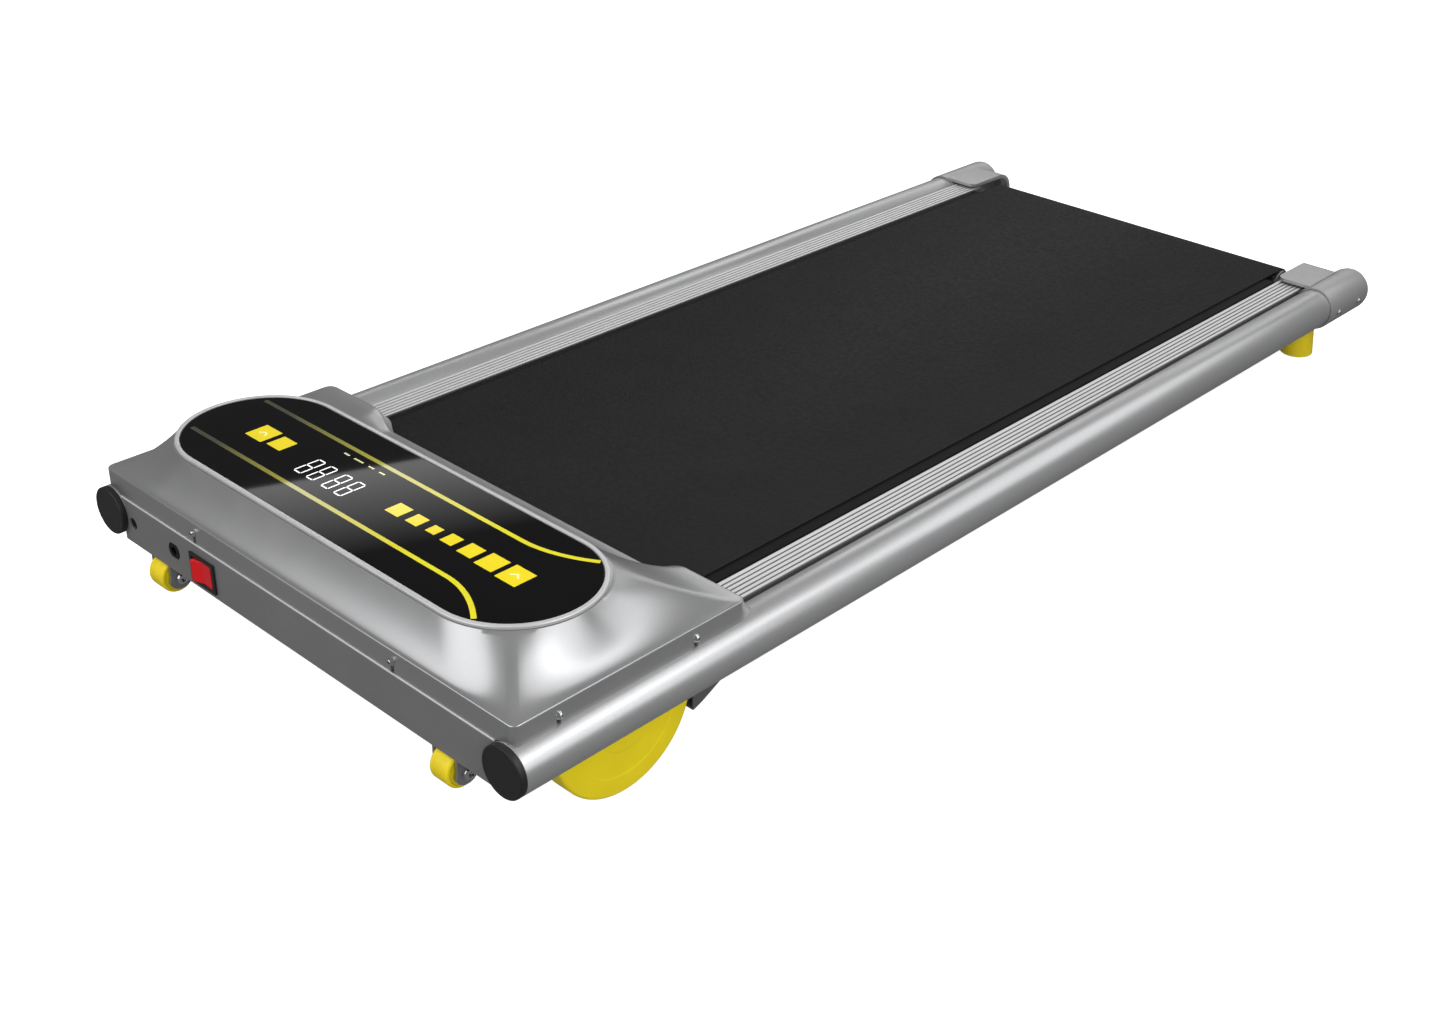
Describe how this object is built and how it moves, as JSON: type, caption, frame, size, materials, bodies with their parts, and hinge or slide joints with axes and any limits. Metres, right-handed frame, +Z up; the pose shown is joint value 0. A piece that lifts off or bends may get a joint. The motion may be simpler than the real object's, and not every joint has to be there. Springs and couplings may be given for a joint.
{
  "type": "treadmill",
  "caption": "Low walking treadmill: motor compartment with a glass console over the front of a belt deck between two round side tubes, on transport wheels and rubber feet.",
  "frame": {"origin": "on the floor, under the middle of the machine's bounding box", "axes": "+Y from the console end to the rear, +X to the right as seen from the front, +Z up"},
  "size_m": [0.5566, 1.2499, 0.1863],
  "materials": {
    "silver_paint": "satin",
    "grey_paint": "satin",
    "motor_paint": "satin",
    "silver_plastic": "satin",
    "grey_plastic": "satin",
    "dark_plastic": "matte",
    "black_plastic": "satin",
    "red_plastic": "gloss",
    "yellow_plastic": "satin",
    "yellow_rubber": "matte",
    "chrome": "polished",
    "zinc_steel": "satin",
    "ribbed_aluminium": "satin",
    "belt": "matte",
    "deck_board": "matte",
    "circuit_board": "satin",
    "console_glass": "gloss"
  },
  "bodies": {
    "frame": {"right_side_tube": "silver_paint", "left_side_tube": "silver_paint", "right_front_tube_cap": "black_plastic", "left_front_tube_cap": "black_plastic", "right_rear_end_cap": "grey_plastic", "left_rear_end_cap": "grey_plastic", "right_cap_screw_front": "chrome", "left_cap_screw_front": "chrome", "right_cap_screw_rear": "chrome", "left_cap_screw_rear": "chrome", "right_step_rail": "ribbed_aluminium", "left_step_rail": "ribbed_aluminium", "right_caster_bolt": "chrome", "left_caster_bolt": "chrome", "right_wheel_axle": "zinc_steel", "left_wheel_axle": "zinc_steel", "right_wheel_bracket": "grey_paint", "left_wheel_bracket": "grey_paint", "right_rear_foot": "yellow_rubber", "left_rear_foot": "yellow_rubber", "right_front_roller_bracket": "grey_paint", "left_front_roller_bracket": "grey_paint", "right_tension_bolt": "zinc_steel", "left_tension_bolt": "zinc_steel", "right_cover_screw_middle": "chrome", "left_cover_screw_middle": "chrome", "right_cover_screw_rear": "chrome", "left_cover_screw_rear": "chrome", "right_cover_screw_front": "chrome", "left_cover_screw_front": "chrome", "cross_member_front": "grey_paint", "cross_member_middle": "grey_paint", "cross_member_rear": "grey_paint", "rear_foot_bar": "grey_paint", "front_cross_plate": "grey_paint", "power_switch_housing": "black_plastic", "cord_grommet": "black_plastic", "overload_breaker": "black_plastic", "front_roller_axle": "zinc_steel", "rear_roller_axle": "zinc_steel", "walking_belt": "belt", "deck_board": "deck_board", "drive_motor": "motor_paint", "drive_belt": "belt", "motor_tray": "grey_paint", "control_board": "circuit_board", "belly_pan": "dark_plastic", "motor_cover": "silver_plastic", "console_ring": "silver_plastic", "console_glass": "console_glass", "display_board": "circuit_board"},
    "right_transport_wheel": {"right_transport_wheel": "yellow_plastic"},
    "left_transport_wheel": {"left_transport_wheel": "yellow_plastic"},
    "right_caster": {"right_caster_wheel": "yellow_rubber"},
    "left_caster": {"left_caster_wheel": "yellow_rubber"},
    "front_roller": {"front_roller": "zinc_steel"},
    "rear_roller": {"rear_roller": "zinc_steel"},
    "motor_rotor": {"motor_pulley": "zinc_steel"},
    "switch_rocker": {"power_switch_rocker": "red_plastic"},
    "reset_button": {"breaker_reset_button": "black_plastic"}
  },
  "joints": [
    {"name": "right_wheel_spin", "type": "hinge", "parent": "frame", "child": "right_transport_wheel", "pos_m": [0.21675, -0.48372, 0.0694], "axis": [1, 0, 0], "continuous": true},
    {"name": "left_wheel_spin", "type": "hinge", "parent": "frame", "child": "left_transport_wheel", "pos_m": [-0.21675, -0.48372, 0.0694], "axis": [1, 0, 0], "continuous": true},
    {"name": "right_caster_spin", "type": "hinge", "parent": "frame", "child": "right_caster", "pos_m": [0.1816, -0.60907, 0.07294], "axis": [1, 0, 0], "continuous": true},
    {"name": "left_caster_spin", "type": "hinge", "parent": "frame", "child": "left_caster", "pos_m": [-0.1899, -0.60907, 0.07294], "axis": [1, 0, 0], "continuous": true},
    {"name": "front_roller_spin", "type": "hinge", "parent": "frame", "child": "front_roller", "pos_m": [0, -0.41154, 0.10275], "axis": [1, 0, 0], "continuous": true},
    {"name": "rear_roller_spin", "type": "hinge", "parent": "frame", "child": "rear_roller", "pos_m": [0, 0.56538, 0.07205], "axis": [1, 0, 0], "continuous": true},
    {"name": "motor_spin", "type": "hinge", "parent": "frame", "child": "motor_rotor", "pos_m": [-0.1994, -0.50405, 0.08785], "axis": [1, 0, 0], "continuous": true},
    {"name": "switch_rock", "type": "hinge", "parent": "frame", "child": "switch_rocker", "pos_m": [-0.1184, -0.61332, 0.10659], "axis": [0, 0.0314, 0.9995], "range_deg": [-16, 0]},
    {"name": "reset_press", "type": "slide", "parent": "frame", "child": "reset_button", "axis": [0, 0.9995, -0.0314], "range_m": [0, 0.0025], "stiffness_N_per_m": 600, "springref_m": -0.001}
  ],
  "couplings": [
    {"joint": "rear_roller_spin", "follows": "front_roller_spin", "ratio": 1},
    {"joint": "motor_spin", "follows": "front_roller_spin", "ratio": 1.8333}
  ]
}
